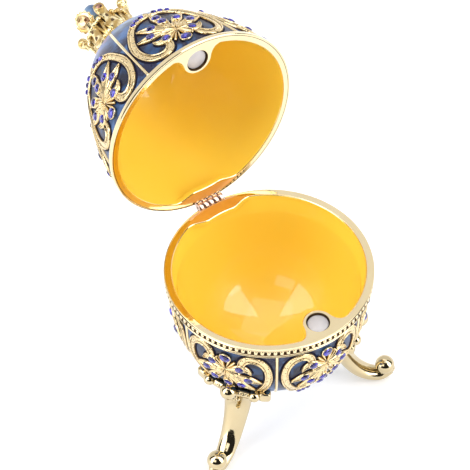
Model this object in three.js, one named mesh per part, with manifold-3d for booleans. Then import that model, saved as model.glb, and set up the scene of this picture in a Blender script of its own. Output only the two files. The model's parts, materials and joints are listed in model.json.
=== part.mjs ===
// A jewelled egg trinket box on three legs, standing with its hinged lid open.
// Millimetres, +Z up. The hinge is at the back (+Y) and the magnets are at the front.
// Azimuths are degrees about the egg's axis, anticlockwise from +X.
import * as THREE from 'three';
import * as BufferGeometryUtils from 'three/addons/utils/BufferGeometryUtils.js';
import Module from 'manifold-3d';

const wasm = await Module();
wasm.setup();

// ---- driving dimensions ----
const EGG_Y = -32.67;             // bowl's axis, with the origin under the middle of the open box
const RIM_RADIUS = 30;            // outside of both rims
const RIM_HEIGHT = 56;            // bowl rim above the ground
const OPENING_RADIUS = 27.6;      // inside edge of the rim flats
const WALL = 1.6;                 // cast wall
const PARTING_GAP = 0.3;          // closed lid above the bowl rim
const JOINT_GAP = 0.3;            // between touching pieces
const MESH_TOLERANCE = 0.03;      // slivers below this are dropped
const OPEN_ANGLE = 93;            // lid opening, held by the hinge stop

const BOWL = { radius: 28.1, height: 38.3, flat: 3.6, round: 2.0 };
const LID = { radius: 29.3, height: 41.0, flat: 1.27, round: 2.78 };
const BOWL_BAND = [[30, 0], [30, 0.7], [29.5, 0.9], [29.5, 2.2], [30, 2.4], [30, 3.0], [28.6, 3.3]];
const LID_BAND = [[30, 0], [30, 1.1], [29.4, 1.4]];
const MERIDIAN_STEPS = 8;
const ROUND_STEPS = 48;

const FLANGE_THICK = 1.8;         // rim flange
const LEDGE = { reach: 2.8, half: 15, blend: 10 };   // hinge ledge: mm inwards, degrees
const BOSS = { y: -24, radius: 4.3, depth: 3.9, fillet: 6 };
const MAGNET = { radius: 3, thick: 2, recess: 0.6 };

const PANELS = 6;
const PANEL_COLUMNS = 3;
const RIB = { width: 1.1, top: 0.55, height: 0.5 };  // top: share of the width

// drop: hinge axis below the bowl's rim
const HINGE = { y: 30.6, drop: 0.3, length: 8.4, knuckles: 5, radius: 1.3, bore: 0.75, pin: 0.45 };
const LEAF = { reach: 4.2, thick: 0.85, skin: 0.05 };

const LEG_AZIMUTHS = { leg_back: 90, leg_left: 210, leg_right: 330 };
// centre line of a leg, from the bracket to the curled toe: [distance from the axis, height]
const LEG_LINE = [
  [24.6, 28.6], [22.4, 25.5], [21.4, 21.5], [21.6, 17.0], [23.2, 12.2],
  [26.0, 7.0], [29.6, 2.5], [33.6, 1.0], [37.0, 3.6],
];
const LEG_HALF_WIDTH = [4.8, 2.1];   // sideways, top and toe
const LEG_HALF_DEPTH = [2.4, 1.9];   // front to back, top and toe
const TOE_BALL = { at: [35.6, 5.9], radius: 2.95 };
// an arm round the bowl, with balls on it: [turn in degrees, distance, height, radius]
const BRACKET = { at: [25.4, 28.1], arm: 1.4, turn: 22.8 };
const BRACKET_BALLS = [
  [0, 27.1, 29.8, 2.3], [20, 25.4, 28.6, 2.1], [-20, 25.4, 28.6, 2.1],
];

const CROWN = { base: 8.0, wall: 6.7, top: 52.0, lobe: 6.6, lobeHeight: 55.4, lobeRadius: 2.7 };
const LOBE_AZIMUTHS = [30, 90, 210, 270];
const PEARL_AZIMUTHS = [150, 330];
const PEARL = { reach: 7.9, height: 54.6, radius: 1.4 };
const ORB = { height: 60.0, radius: 2.7 };

const GOLD = new THREE.MeshStandardMaterial({ color: 0xe6cf94, roughness: 0.12, metalness: 1 });
const BLUE_ENAMEL = new THREE.MeshStandardMaterial({ color: 0x4a5f86, roughness: 0.2, metalness: 0.2 });
const MAGNET_STEEL = new THREE.MeshStandardMaterial({ color: 0xcfc9c8, roughness: 0.3, metalness: 0.9 });

// ---- solids ----
const radians = THREE.MathUtils.degToRad;

function solid(geometry) {
  const bare = geometry.index ? geometry.toNonIndexed() : geometry.clone();
  for (const name of Object.keys(bare.attributes)) if (name !== 'position') bare.deleteAttribute(name);
  const merged = BufferGeometryUtils.mergeVertices(bare, 1e-4);
  return new wasm.Manifold(new wasm.Mesh({
    numProp: 3,
    vertProperties: new Float32Array(merged.attributes.position.array),
    triVerts: new Uint32Array(merged.index.array),
  }));
}

function geometryOf(manifold) {
  const mesh = manifold.getMesh();
  const geometry = new THREE.BufferGeometry();
  geometry.setAttribute('position', new THREE.BufferAttribute(mesh.vertProperties, 3));
  geometry.setIndex(new THREE.BufferAttribute(mesh.triVerts, 1));
  return geometry;
}

function joined(solids) {
  return solids.reduce((whole, next) => whole.add(next));
}

function node(name, manifold, material) {
  const mesh = new THREE.Mesh(geometryOf(manifold.simplify(MESH_TOLERANCE)), material);
  mesh.name = name;
  return mesh;
}

function box(low, high) {
  const size = high.map((value, i) => value - low[i]);
  const middle = high.map((value, i) => (value + low[i]) / 2);
  return solid(new THREE.BoxGeometry(...size).translate(...middle));
}

// an upright cylinder from one height to another
function post(radius, low, high, sides = 24) {
  const geometry = new THREE.CylinderGeometry(radius, radius, high - low, sides);
  return solid(geometry.rotateX(Math.PI / 2).translate(0, 0, (low + high) / 2));
}

// a cylinder along X, centred on the hinge axis
function barrel(radius, from, to, sides = 16) {
  const geometry = new THREE.CylinderGeometry(radius, radius, to - from, sides);
  return solid(geometry.rotateZ(Math.PI / 2).translate((from + to) / 2, 0, 0));
}

function ball(radius, x, y, z, sides = 12) {
  return solid(new THREE.SphereGeometry(radius, sides, sides * 0.75).translate(x, y, z));
}

// turns a profile of [radius, height] about Z
function turned(profile, sides = ROUND_STEPS) {
  const points = profile.map(([radius, height]) => new THREE.Vector2(radius, height));
  return solid(new THREE.LatheGeometry(points, sides).rotateX(Math.PI / 2));
}

// ---- egg halves: height runs from the rim (0) to the pole ----
const eggRadius = (egg, height, grow = 0) => {
  const share = Math.min(height / (egg.height + grow), 1);
  return (egg.radius + grow) * Math.pow(1 - Math.pow(share, egg.flat), 1 / egg.round);
};

// points from the rim to the pole, closer together where the wall turns in
function meridian(egg, grow, from) {
  const points = [];
  for (let i = 0; i <= MERIDIAN_STEPS; i++) {
    const turn = i / MERIDIAN_STEPS;
    const height = from + (egg.height + grow - from) * Math.sin(turn * Math.PI / 2);
    points.push([i === MERIDIAN_STEPS ? 0 : eggRadius(egg, height, grow), height]);
  }
  return points;
}

// the rim flat's inside edge: a circle that widens to the hinge ledge at the back
// and to the magnet boss at the front
function openingRadius(azimuth) {
  const fromHinge = Math.abs(azimuth - 90);
  const fromBoss = Math.abs(azimuth - 270);
  const ledge = 1 - THREE.MathUtils.smoothstep(fromHinge, LEDGE.half, LEDGE.half + LEDGE.blend);
  const bossHalf = THREE.MathUtils.radToDeg(Math.asin(BOSS.radius / -BOSS.y));
  const fillet = 1 - THREE.MathUtils.smoothstep(fromBoss, bossHalf - 1, bossHalf + BOSS.fillet);
  return OPENING_RADIUS - LEDGE.reach * ledge - (OPENING_RADIUS + BOSS.y) * fillet;
}

function rimFlange() {
  const plate = new THREE.Shape().absarc(0, 0, RIM_RADIUS - 1, 0, 2 * Math.PI);
  const edge = [];
  for (let azimuth = 0; azimuth < 360; azimuth += 7.5) {
    const radius = openingRadius(azimuth);
    edge.push(new THREE.Vector2(radius * Math.cos(radians(azimuth)), radius * Math.sin(radians(azimuth))));
  }
  plate.holes.push(new THREE.Path(edge));
  return solid(new THREE.ExtrudeGeometry(plate, {
    depth: FLANGE_THICK, bevelEnabled: false, curveSegments: ROUND_STEPS,
  }));
}

// turns a closed profile about Z with a raised rib between every two panels; the rows from
// the first to the last rib row are lifted, and the ribs keep their width towards the pole
function turnedWithRibs(profile, firstRow, lastRow) {
  const perPanel = PANEL_COLUMNS + 4;
  const points = profile.map(([radius, height]) => new THREE.Vector2(radius, height));
  const geometry = new THREE.LatheGeometry(points, PANELS * perPanel);
  const place = geometry.attributes.position;
  for (let i = 0; i < place.count; i++) {
    const row = i % profile.length;
    const column = Math.floor(i / profile.length);
    const [radius, height] = profile[row];
    const half = Math.min(RIB.width / 2 / Math.max(radius, 1), 0.2);
    const across = column % perPanel;
    const panel = [-half, -half * RIB.top, half * RIB.top, half][across]
      ?? THREE.MathUtils.lerp(half, 2 * Math.PI / PANELS - half, (across - 3) / (PANEL_COLUMNS + 1));
    const turn = Math.PI / 2 + panel + 2 * Math.PI / PANELS * Math.floor(column / perPanel);
    const raised = (across === 1 || across === 2) && row > firstRow && row < lastRow;
    const lift = raised ? 1 + RIB.height / Math.hypot(radius, height) : 1;
    place.setXYZ(i, radius * lift * Math.sin(turn), height * lift, radius * lift * Math.cos(turn));
  }
  return solid(geometry.rotateX(Math.PI / 2));
}

// one half of the egg with its rim plane at 0, growing towards +Z
function eggHalf(egg, band) {
  const outside = meridian(egg, 0, band.at(-1)[1] + 0.6);
  const inside = meridian(egg, -WALL, 0).slice(1).reverse();
  const profile = [...inside, [OPENING_RADIUS, 0], ...band, ...outside];
  let half = turnedWithRibs(profile, profile.length - outside.length - 1, profile.length - 1);
  half = half.add(rimFlange());
  half = half.add(post(BOSS.radius, 0, BOSS.depth).translate(0, BOSS.y, 0));
  const socket = MAGNET.recess + MAGNET.thick + JOINT_GAP;
  return half.subtract(post(MAGNET.radius + JOINT_GAP, -1, socket).translate(0, BOSS.y, 0));
}

// ---- hinge: made about its own axis, with the leaf towards -Y ----
const HALF_HINGE = HINGE.length / 2;
const KNUCKLE = (HINGE.length - (HINGE.knuckles - 1) * JOINT_GAP) / HINGE.knuckles;

function knuckleSpans(first) {
  const spans = [];
  for (let i = first; i < HINGE.knuckles; i += 2) {
    const from = -HALF_HINGE + i * (KNUCKLE + JOINT_GAP);
    spans.push([from, from + KNUCKLE]);
  }
  return spans;
}

// side is -1 for the bowl's leaf, under its rim plane, and +1 for the lid's, over its own
function hingeLeaf(first, side) {
  const rim = HINGE.drop + (side > 0 ? PARTING_GAP : 0);
  const face = rim + side * LEAF.skin;
  const back = face + side * LEAF.thick;
  let leaf = box(
    [-HALF_HINGE, -LEAF.reach, Math.min(face, back)],
    [HALF_HINGE, 0, Math.max(face, back)],
  );
  for (const [from, to] of knuckleSpans(1 - first)) {
    leaf = leaf.subtract(barrel(HINGE.radius + JOINT_GAP, from - JOINT_GAP, to + JOINT_GAP));
  }
  for (const [from, to] of knuckleSpans(first)) leaf = leaf.add(barrel(HINGE.radius, from, to));
  return leaf.subtract(barrel(HINGE.bore, -HALF_HINGE - 1, HALF_HINGE + 1, 12));
}

// room for the barrel and the leaf, in the frame of an egg half; axis is its height there
function hingeCut(axis) {
  const room = barrel(HINGE.radius + JOINT_GAP, -HALF_HINGE - JOINT_GAP, HALF_HINGE + JOINT_GAP)
    .translate(0, HINGE.y, axis);
  const pocket = box(
    [-HALF_HINGE - JOINT_GAP, HINGE.y - LEAF.reach - JOINT_GAP, -1],
    [HALF_HINGE + JOINT_GAP, HINGE.y, LEAF.skin + LEAF.thick + JOINT_GAP],
  );
  return room.add(pocket);
}

// the bowl is made growing upwards, as the lid is, and turned over about its rim plane
const overBowl = (part) => part.mirror([0, 0, 1]).translate(0, 0, RIM_HEIGHT);

// ---- legs ----
function blend(pair, share) {
  return THREE.MathUtils.lerp(pair[0], pair[1], share);
}

// a tapering rod bent along the leg's centre line, in the XZ plane
function legRod() {
  const line = LEG_LINE.map(([reach, height]) => new THREE.Vector3(reach, 0, height));
  const curve = new THREE.CatmullRomCurve3(line);
  const geometry = new THREE.CylinderGeometry(1, 1, 1, 10, 12);
  const place = geometry.attributes.position;
  for (let i = 0; i < place.count; i++) {
    const share = 0.5 - place.getY(i);
    const at = curve.getPointAt(share);
    const along = curve.getTangentAt(share);
    const side = place.getX(i) * blend(LEG_HALF_WIDTH, share);
    const depth = place.getZ(i) * blend(LEG_HALF_DEPTH, share);
    place.setXYZ(i, at.x - along.z * depth, side, at.z + along.x * depth);
  }
  return solid(geometry);
}

// scroll balls on an arm that hugs the bowl to both sides of the leg
function bracket() {
  const [reach, height] = BRACKET.at;
  const point = (turn) => new THREE.Vector3(reach * Math.cos(turn), reach * Math.sin(turn), height);
  const end = radians(BRACKET.turn);
  const path = new THREE.CatmullRomCurve3([-1, -0.5, 0, 0.5, 1].map((share) => point(end * share)));
  const section = new THREE.Shape().absarc(0, 0, BRACKET.arm, 0, 2 * Math.PI);
  const arm = solid(new THREE.ExtrudeGeometry(section, { steps: 5, extrudePath: path, curveSegments: 4 }));
  return joined([arm, ...BRACKET_BALLS.map(([turn, out, up, radius]) => (
    ball(radius, out * Math.cos(radians(turn)), out * Math.sin(radians(turn)), up, 8)
  ))]);
}

function leg(azimuth) {
  const [reach, height] = TOE_BALL.at;
  const grow = RIB.height + JOINT_GAP;
  const clearance = overBowl(turned([[0, 0], ...meridian(BOWL, grow, 0)], 24));
  return joined([legRod(), ball(TOE_BALL.radius, reach, 0, height, 12), bracket()])
    .rotate([0, 0, azimuth])
    .subtract(clearance)
    .subtract(box([-60, -60, -10], [60, 60, 0]));
}

// ---- crown finial, in the lid's frame ----
function crownLobe(azimuth) {
  const disc = new THREE.CylinderGeometry(CROWN.lobeRadius, CROWN.lobeRadius, 1.8, 12);
  disc.rotateZ(Math.PI / 2).translate(CROWN.lobe, 0, CROWN.lobeHeight);
  const stem = new THREE.BoxGeometry(1.5, 2.4, 8).translate(CROWN.wall - 0.7, 0, CROWN.top - 1);
  return solid(disc).add(solid(stem)).rotate([0, 0, azimuth]);
}

function crownPearl(azimuth) {
  const stem = new THREE.CylinderGeometry(0.7, 1.1, 6, 8).rotateX(Math.PI / 2)
    .translate(PEARL.reach - 0.6, 0, PEARL.height - 3);
  return solid(stem).add(ball(PEARL.radius, PEARL.reach, 0, PEARL.height, 10)).rotate([0, 0, azimuth]);
}

function crown() {
  const { base, wall, top } = CROWN;
  const cup = turned([
    [0, 39], [base, 39], [base + 0.4, 41], [base, 42.4], [wall, 43.2], [wall - 0.2, 47], [wall + 0.6, top - 1],
    [wall + 0.6, top], [wall - 0.8, top], [wall - 1.6, 48], [1.8, 47.4], [1.2, 56], [1.6, 57.6], [0, 57.6],
  ], 20);
  const clearance = turned([[0, 0], ...meridian(LID, JOINT_GAP + RIB.height, 0)], 24);
  const lobes = LOBE_AZIMUTHS.map(crownLobe);
  const pearls = PEARL_AZIMUTHS.map(crownPearl);
  return joined([cup, ...lobes, ...pearls]).subtract(clearance)
    .subtract(ball(ORB.radius + JOINT_GAP, 0, 0, ORB.height, 12));
}

// ---- the box ----
const magnet = () => post(MAGNET.radius, MAGNET.recess, MAGNET.recess + MAGNET.thick).translate(0, BOSS.y, 0);

const base = new THREE.Group();
base.add(node('bowl', overBowl(eggHalf(BOWL, BOWL_BAND).subtract(hingeCut(HINGE.drop))), BLUE_ENAMEL));
base.add(node('magnet_bowl', overBowl(magnet()), MAGNET_STEEL));
for (const [name, azimuth] of Object.entries(LEG_AZIMUTHS)) base.add(node(name, leg(azimuth), GOLD));

const hingeHeight = RIM_HEIGHT - HINGE.drop;
const fixedHinge = new THREE.Group();
fixedHinge.position.set(0, HINGE.y, hingeHeight);
fixedHinge.add(node('hinge_leaf_bowl', hingeLeaf(0, -1), GOLD));
fixedHinge.add(node('hinge_pin', barrel(HINGE.pin, -HALF_HINGE, HALF_HINGE, 10), GOLD));
base.add(fixedHinge);

// the lid turns about the hinge axis; at 0 it is closed
const lid = new THREE.Group();
lid.position.set(0, HINGE.y, hingeHeight);
lid.rotation.x = -radians(OPEN_ANGLE);
lid.add(node('hinge_leaf_lid', hingeLeaf(1, 1), GOLD));
const lidFrame = new THREE.Group();
lidFrame.position.set(0, -HINGE.y, HINGE.drop + PARTING_GAP);
lidFrame.add(node('lid', eggHalf(LID, LID_BAND).subtract(hingeCut(-HINGE.drop - PARTING_GAP)), BLUE_ENAMEL));
lidFrame.add(node('magnet_lid', magnet(), MAGNET_STEEL));
lidFrame.add(node('crown', crown(), GOLD));
lidFrame.add(node('crown_orb', ball(ORB.radius, 0, 0, ORB.height, 14), BLUE_ENAMEL));
lid.add(lidFrame);

const group = new THREE.Group();
group.add(base, lid);
group.position.y = EGG_Y;

export default group;
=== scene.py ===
import json
import math

import bpy
import numpy as np
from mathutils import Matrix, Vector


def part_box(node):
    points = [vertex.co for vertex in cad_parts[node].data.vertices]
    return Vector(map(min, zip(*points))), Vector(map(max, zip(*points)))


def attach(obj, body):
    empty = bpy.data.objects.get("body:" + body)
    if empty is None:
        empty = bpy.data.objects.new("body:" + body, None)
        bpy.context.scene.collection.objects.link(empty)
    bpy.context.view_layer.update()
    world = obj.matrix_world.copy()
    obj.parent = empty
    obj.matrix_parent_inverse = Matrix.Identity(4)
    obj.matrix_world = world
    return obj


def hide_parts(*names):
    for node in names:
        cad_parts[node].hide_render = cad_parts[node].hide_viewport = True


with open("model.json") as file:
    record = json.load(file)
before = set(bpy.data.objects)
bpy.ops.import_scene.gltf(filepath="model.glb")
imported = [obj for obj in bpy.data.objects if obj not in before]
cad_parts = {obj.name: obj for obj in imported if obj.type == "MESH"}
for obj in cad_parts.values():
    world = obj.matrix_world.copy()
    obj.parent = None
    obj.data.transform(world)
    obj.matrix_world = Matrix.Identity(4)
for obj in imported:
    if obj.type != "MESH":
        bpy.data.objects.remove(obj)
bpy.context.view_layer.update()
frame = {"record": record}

# ---- view, floor and light ----
# The camera looks down on the open box from the front left. The floor and the walls round it
# are white, with one dark stretch of room that the polished gold picks up.
MM = 0.001
CAMERA_PLACE = (-0.18449, -0.29971, 0.44754)
CAMERA_AZIMUTH, CAMERA_ELEVATION, CAMERA_ROLL = -32.9745, 49.296, -1.2574
SENSOR, LENS = 36.0, 136.84


def camera_axes(azimuth, elevation, roll):
    """Right, up and back of a camera: back is the direction at that azimuth (from -Y) and
    elevation, right is level, and both right and up are then turned by the roll."""
    a, e, r = np.radians([azimuth, elevation, roll])
    back = np.array([math.sin(a) * math.cos(e), -math.cos(a) * math.cos(e), math.sin(e)])
    level = np.array([math.cos(a), math.sin(a), 0.0])
    above = np.cross(back, level)
    right = level * math.cos(r) + above * math.sin(r)
    return right, above * math.cos(r) - level * math.sin(r), back


view = bpy.data.objects.new("view", bpy.data.cameras.new("view"))
view.data.sensor_width = SENSOR
view.data.lens = LENS
placing = np.eye(4)
placing[:3, :3] = np.stack(camera_axes(CAMERA_AZIMUTH, CAMERA_ELEVATION, CAMERA_ROLL), axis=1)
placing[:3, 3] = CAMERA_PLACE
view.matrix_world = placing.T.tolist()
bpy.context.scene.collection.objects.link(view)
bpy.context.scene.camera = view
bpy.context.scene.view_settings.view_transform = "Standard"


class Socket:
    """A node's output, so that shader maths reads as plain arithmetic. Each operation adds one
    Math node."""

    def __init__(self, tree, output):
        self.tree = tree
        self.output = output

    def node(self, kind, settings=None, **inputs):
        """Adds a node: its settings are set first, then each input is given a value or a link.
        An input's name has underscores for spaces, or i0, i1 for its place in the list."""
        made = self.tree.nodes.new(kind)
        for name, value in (settings or {}).items():
            if name == "stops":
                for stop, (place, colour) in zip(ramp_stops(made, len(value)), value):
                    stop.position, stop.color = place, (*colour, 1.0)
            else:
                setattr(made, name, value)
        for name, value in inputs.items():
            known = name[1:].isdigit() and name[0] == "i"
            socket = made.inputs[int(name[1:]) if known else name.replace("_", " ")]
            if isinstance(value, Socket):
                self.tree.links.new(value.output, socket)
            else:
                socket.default_value = value
        return made

    def out(self, kind, settings=None, result=0, **inputs):
        """The same, returning one of the new node's outputs."""
        return Socket(self.tree, self.node(kind, settings, **inputs).outputs[result])

    def math(self, operation, *values):
        """A Math node on values or sockets."""
        inputs = {f"i{i}": value for i, value in enumerate(values)}
        return self.out("ShaderNodeMath", {"operation": operation}, **inputs)

    def mix(self, low, high):
        """A colour from low to high by this factor."""
        return self.out("ShaderNodeMix", {"data_type": "RGBA"}, result=2, i0=self, i6=low, i7=high)

    def __add__(self, other):
        return self.math("ADD", self, other)

    def __sub__(self, other):
        return self.math("SUBTRACT", self, other)

    def __rsub__(self, other):
        return self.math("SUBTRACT", other, self)

    def __mul__(self, other):
        return self.math("MULTIPLY", self, other)

    def __truediv__(self, other):
        return self.math("DIVIDE", self, other)

    def __pow__(self, other):
        return self.math("POWER", self, other)

    def __gt__(self, other):
        return self.math("GREATER_THAN", self, other)

    def __lt__(self, other):
        return self.math("LESS_THAN", self, other)

    __radd__ = __add__
    __rmul__ = __mul__


def ramp_stops(ramp, count):
    """A colour ramp's stops, with as many as are asked for."""
    stops = ramp.color_ramp.elements
    while len(stops) < count:
        stops.new(0.5)
    return stops


def rgba(red, green, blue):
    """A solid colour for a socket."""
    return (red, green, blue, 1.0)


world = bpy.data.worlds.new("studio")
world.use_nodes = True
bpy.context.scene.world = world
sky = Socket(world.node_tree, None)
background = world.node_tree.nodes["Background"]
background.inputs["Color"].default_value = rgba(1, 1, 1)
direction = sky.out("ShaderNodeTexCoord", result=0)


def along(axis):
    """How far the direction looked in goes along an axis."""
    return sky.out("ShaderNodeVectorMath", {"operation": "DOT_PRODUCT"}, result=1, i0=direction,
                   i1=tuple(axis))


# where a mirror ball shows each direction to the camera: x to the right and y up, from -1 to 1
rightwards, upwards, towards_camera = camera_axes(CAMERA_AZIMUTH, CAMERA_ELEVATION, 0)
spread = ((along(towards_camera) + 1.0001) * 2) ** 0.5
ball_x, ball_y = along(rightwards) / spread, along(upwards) / spread
# a dark stretch of room round the camera, with a bright window to each side of it
ROOM_SIZE, WINDOW_SIZE, LOWERED, SILL = (0.80, 0.58), (0.64, 0.44), 0.06, -0.30
PILLAR, PILLAR_SLOPE = 0.30, 0.55
ROOM_SHADE, WINDOW_LIGHT = 0.97, 3.6


def oval(size):
    """One inside an oval of those half sizes on the ball, and zero outside it."""
    return ((ball_x / size[0]) ** 2 + ((ball_y + LOWERED) / size[1]) ** 2) < 1.0


past_pillar = ball_x.math("ABSOLUTE", ball_x) > PILLAR - ball_y * PILLAR_SLOPE
windows = oval(WINDOW_SIZE) * past_pillar * (ball_y > SILL)
world_light = 1.0 - oval(ROOM_SIZE) * ROOM_SHADE + windows * WINDOW_LIGHT
world.node_tree.links.new(world_light.output, background.inputs["Strength"])


def add_piece(name, vertices, faces, materials, face_material=None, smooth=True):
    """A mesh object at the origin from vertices in millimetres and a list of face arrays."""
    mesh = bpy.data.meshes.new(name)
    faces = [np.asarray(part) for part in faces]
    corners = np.concatenate([part.ravel() for part in faces])
    sizes = np.concatenate([np.full(len(part), part.shape[1]) for part in faces])
    mesh.vertices.add(len(vertices))
    mesh.vertices.foreach_set("co", (np.asarray(vertices) * MM).astype(np.float32).ravel())
    mesh.loops.add(len(corners))
    mesh.loops.foreach_set("vertex_index", corners.astype(np.int32))
    mesh.polygons.add(len(sizes))
    starts = np.concatenate([[0], np.cumsum(sizes)[:-1]])
    mesh.polygons.foreach_set("loop_start", starts.astype(np.int32))
    for material in materials:
        mesh.materials.append(material)
    if face_material is not None:
        mesh.polygons.foreach_set("material_index", np.asarray(face_material, dtype=np.int32))
    mesh.polygons.foreach_set("use_smooth", np.full(len(sizes), smooth))
    mesh.update(calc_edges=True)
    mesh.validate()
    piece = bpy.data.objects.new(name, mesh)
    bpy.context.scene.collection.objects.link(piece)
    return piece


def shader(name, base, roughness, **constants):
    """A Principled material with constants on its own sockets, and a socket to build from."""
    material = bpy.data.materials.new(name)
    material.use_nodes = True
    surface = material.node_tree.nodes["Principled BSDF"]
    surface.inputs["Base Color"].default_value = rgba(*base)
    surface.inputs["Roughness"].default_value = roughness
    for socket, value in constants.items():
        surface.inputs[socket.replace("_", " ")].default_value = value
    return material, surface, Socket(material.node_tree, None)


def feed(surface, socket, value):
    """Links a value to a named socket of the surface."""
    value.tree.links.new(value.output, surface.inputs[socket])


def own_place(build):
    """The place on a piece in its own coordinates, in metres."""
    return build.out("ShaderNodeTexCoord", result=3)


def clouds(build, scale, detail):
    """Soft noise over a piece, from 0 to 1."""
    return build.out("ShaderNodeTexNoise", Vector=own_place(build), Scale=scale, Detail=detail)


floor_white, floor_surface, build = shader(
    "floor_white", (0.90, 0.90, 0.90), 0.6, Emission_Color=rgba(1, 1, 1), Emission_Strength=0.22)
feed(floor_surface, "Roughness", 0.55 + clouds(build, 40.0, 2.0) * 0.1)
FLOOR_HALF, FLOOR_DROP = 3000, 0.05
square = np.array([[-1, -1, 0], [1, -1, 0], [1, 1, 0], [-1, 1, 0]]) * FLOOR_HALF - [0, 0, FLOOR_DROP]
floor = add_piece("floor", square, [[[0, 1, 2, 3]]], [floor_white], smooth=False)

LIT_POINT = np.array([0, 0, 0.06])
SOFT_LIGHTS = [
    # place in metres, size, power
    ((-0.75, -0.45, 0.70), 0.45, 1.2),
    ((0.35, -0.85, 0.60), 0.35, 1.0),
    ((0.05, 0.05, 1.1), 0.9, 3.55),
]
for number, (stand, size, power) in enumerate(SOFT_LIGHTS):
    lamp = bpy.data.lights.new(f"softbox_{number}", "AREA")
    lamp.size, lamp.energy = size, power
    holder = bpy.data.objects.new(f"softbox_{number}", lamp)
    aim = LIT_POINT - stand
    aim /= np.linalg.norm(aim)
    side = np.cross(aim, [0, 0, 1])
    side /= np.linalg.norm(side)
    turn = np.eye(4)
    turn[:3, :3] = np.stack([side, np.cross(side, aim), -aim], axis=1)
    turn[:3, 3] = stand
    holder.matrix_world = turn.T.tolist()
    bpy.context.scene.collection.objects.link(holder)

# ---- bowl and lid castings ----
# The two halves of the egg are cast in zinc alloy with a 1.6 mm wall. The rim flats, ribs and
# scrolls are gold plated, the fields between them are flooded with blue enamel, and the
# inside is sprayed with yellow enamel. A boss inside each rim holds a magnet.
RIM = 30.0
OPENING = 27.6
WALL = 1.6
bowl_low, bowl_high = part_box("bowl")
EGG_Y = (bowl_low[1] + bowl_high[1]) / 2 / MM
RIM_Z = bowl_high[2] / MM
hinge = frame["record"]["behaviour"]["joints"][0]
HINGE_Y = hinge["pos_m"][1] / MM - EGG_Y
HINGE_Z = hinge["pos_m"][2] / MM - RIM_Z
OPEN = math.radians(hinge["range_deg"][1])
PARTING_GAP = 0.3
BOSS_Y, BOSS_RADIUS, BOSS_DEPTH, FILLET_TURN = -24.0, 4.3, 3.9, 6.5
LEDGE_REACH, LEDGE_DEPTH, LEDGE_HALF, LEDGE_BLEND = 2.8, 1.8, 9.0, 14.0
# how far the painted reflection on the hinge ledge reaches, with its half angle and blend
REFLECTION_REACH, REFLECTION_HALF, REFLECTION_BLEND = 28.8, 14.0, 13.0
PANELS = 6
PANEL_CENTRES = np.arange(PANELS) * 60.0 + 30.0


def place_bowl(points):
    """From the bowl's frame (rim plane at 0, growing away from it) to the standing box."""
    return points * [1, 1, -1] + [0, EGG_Y, RIM_Z]


def place_lid(points):
    """From the closed lid's frame (rim plane at 0, growing upwards) to the open box: the lid
    lies one gap above the bowl and turns back about the hinge axis."""
    y = points[..., 1] - HINGE_Y
    z = points[..., 2] + PARTING_GAP - HINGE_Z
    turned_y = y * math.cos(OPEN) + z * math.sin(OPEN)
    turned_z = z * math.cos(OPEN) - y * math.sin(OPEN)
    return np.stack([points[..., 0], turned_y + HINGE_Y + EGG_Y, turned_z + HINGE_Z + RIM_Z], axis=-1)


def egg_half(radius, height, flat, rounding, first, place, body):
    """A half's outline: at a height z from the rim plane its radius is
    radius * (1 - (z / height) ** flat) ** (1 / rounding). Keeps it as a table by the distance
    gone along the outline, with the outward normal at each step. The ornaments start at the
    distance `first`."""
    turn = np.linspace(0, math.pi / 2, 600)
    z = height * np.sin(turn)
    r = radius * np.clip(1 - (z / height) ** flat, 0, 1) ** (1 / rounding)
    distance = np.concatenate([[0], np.cumsum(np.hypot(np.diff(r), np.diff(z)))])
    normal = np.stack([np.gradient(z, distance), -np.gradient(r, distance)])
    normal /= np.linalg.norm(normal, axis=0)
    return {"distance": distance, "r": r, "z": z, "normal": normal, "end": distance[-1],
            "first": first, "place": place, "body": body}


BOWL = egg_half(radius=28.1, height=38.3, flat=3.6, rounding=2.0, first=3.2, place=place_bowl, body="base")
LID = egg_half(radius=29.3, height=41.0, flat=1.27, rounding=2.78, first=0.0, place=place_lid, body="lid")


def outline(half, s):
    """The radius and height of a half's outline at the distance s along it, and the two parts
    of the outward normal there."""
    return [np.interp(s, half["distance"], row) for row in (half["r"], half["z"], *half["normal"])]


def on_egg(half, azimuth, x, s, lift):
    """Points on a half: x is measured round it from the azimuth and s along the outline from
    the rim, both in millimetres, and lift is the height above the enamel."""
    r, z, out, up = outline(half, s)
    turn = np.radians(azimuth) + x / np.maximum(r, 0.8)
    reach = r + out * lift
    points = np.broadcast_arrays(reach * np.cos(turn), reach * np.sin(turn), z + up * lift)
    return half["place"](np.stack(points, -1))


def full_turn(sides):
    """Evenly spaced angles round a circle."""
    return np.linspace(0, 2 * math.pi, sides, endpoint=False)


def loft(rings):
    """Closed solids through rings of points: rings has the shape (solids, rings, sides, 3).
    Each end is closed by a fan to the middle of its ring, and faces point outwards."""
    solids, count, sides, _ = rings.shape
    ends = np.stack([rings[:, 0].mean(axis=1), rings[:, -1].mean(axis=1)], axis=1)
    vertices = np.concatenate([rings.reshape(solids, -1, 3), ends], axis=1)
    ring, side = np.meshgrid(np.arange(count - 1), np.arange(sides), indexing="ij")
    nxt = (side + 1) % sides
    low, high = ring * sides, (ring + 1) * sides
    quads = np.stack([low + side, low + nxt, high + nxt, high + side], -1).reshape(-1, 4)
    edge = np.arange(sides)
    first = np.stack([np.roll(edge, -1), edge, np.full(sides, count * sides)], -1)
    last = np.stack([edge, np.roll(edge, -1), np.full(sides, count * sides + 1)], -1) + [
        (count - 1) * sides, (count - 1) * sides, 0]
    triangles = np.concatenate([first, last])
    volume = tetrahedra(vertices, quads[:, [0, 1, 2]]) + tetrahedra(vertices, quads[:, [0, 2, 3]])
    volume += tetrahedra(vertices, triangles)
    shift = np.arange(solids)[:, None, None] * vertices.shape[1]
    quads = np.where(volume[:, None, None] < 0, quads[:, ::-1], quads) + shift
    triangles = np.where(volume[:, None, None] < 0, triangles[:, ::-1], triangles) + shift
    return vertices.reshape(-1, 3), [quads.reshape(-1, 4), triangles.reshape(-1, 3)]


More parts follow.
